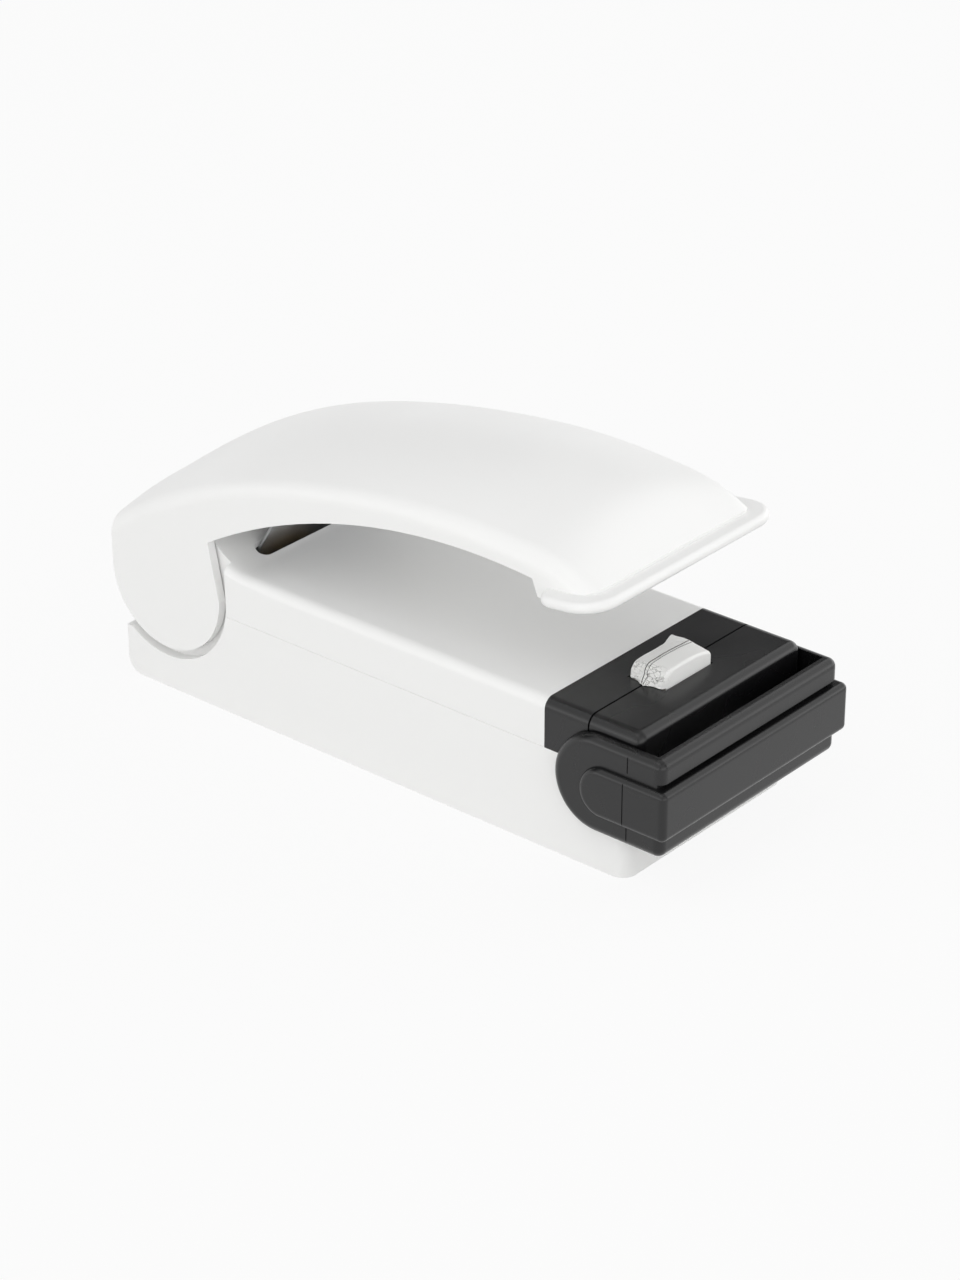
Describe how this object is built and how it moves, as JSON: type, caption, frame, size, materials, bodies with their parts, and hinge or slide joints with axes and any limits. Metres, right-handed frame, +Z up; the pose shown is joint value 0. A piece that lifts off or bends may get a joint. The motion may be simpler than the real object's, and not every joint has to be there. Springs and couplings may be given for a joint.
{
  "type": "bag neck sealer",
  "caption": "Palm-sized heat sealer for plastic bags: white case with a sprung arched handle over a cloth-wrapped heating block, a black U-shaped latch and a sliding battery door",
  "frame": {"origin": "middle of the overall length and width, on the face that the sealer rests on", "axes": "+X towards the sealing head, +Y across the case, +Z up; the handle opens towards +Z"},
  "size_m": [0.1156, 0.0462, 0.053],
  "materials": {
    "white_abs": "satin moulded",
    "black_abs": "satin moulded",
    "spring_steel": "rolled",
    "bright_steel": "turned",
    "plated_contacts": "plated",
    "brass_strip": "rolled",
    "release_cloth": "coated glass cloth",
    "heating_wire": "oxidised",
    "phenolic": "pressed board",
    "ceramic_block": "matte",
    "silicone": "moulded",
    "cell_jacket": "shrink sleeve",
    "bay_sheet": "sheet",
    "red_lead": "insulation",
    "black_lead": "insulation"
  },
  "bodies": {
    "case": {"lower_housing": "white_abs", "upper_housing": "white_abs", "head_cover_rear": "black_abs", "head_cover_front": "black_abs", "leaf_spring": "spring_steel", "hinge_axle": "bright_steel", "latch_pin_left": "bright_steel", "latch_pin_right": "bright_steel", "spring_clamp": "bright_steel", "clamp_screw_1": "bright_steel", "clamp_screw_2": "bright_steel", "carrier_screw_1": "bright_steel", "carrier_screw_2": "bright_steel", "case_screw_1": "bright_steel", "case_screw_2": "bright_steel", "case_screw_3": "bright_steel", "case_screw_4": "bright_steel", "series_link": "plated_contacts", "contact_positive": "plated_contacts", "contact_negative": "plated_contacts", "cell_spring_rear": "plated_contacts", "cell_spring_front": "plated_contacts", "switch_strip": "brass_strip", "release_cloth": "release_cloth", "heating_wires": "heating_wire", "heater_carrier": "phenolic", "heater_block": "ceramic_block", "aa_cell_left": "cell_jacket", "aa_cell_right": "cell_jacket", "bay_cover": "bay_sheet", "lead_positive": "red_lead", "lead_switch": "black_lead"},
    "handle": {"handle_shell": "white_abs", "press_pad": "silicone", "pad_carrier": "white_abs"},
    "latch": {"latch": "black_abs"},
    "door": {"battery_door": "white_abs"}
  },
  "joints": [
    {"name": "handle_hinge", "type": "hinge", "parent": "case", "child": "handle", "pos_m": [-0.0459, 0, 0.0192], "axis": [0, 1, 0], "range_deg": [0, 8.34], "stiffness_Nm_per_rad": 2, "springref_deg": -2.86, "deforming": ["leaf_spring"]},
    {"name": "latch_hinge", "type": "hinge", "parent": "case", "child": "latch", "pos_m": [0.042, 0, 0.0156], "axis": [0, -1, 0], "range_deg": [0, 36]},
    {"name": "door_slide", "type": "slide", "parent": "case", "child": "door", "axis": [-1, 0, 0], "range_m": [0, 0.052]}
  ]
}
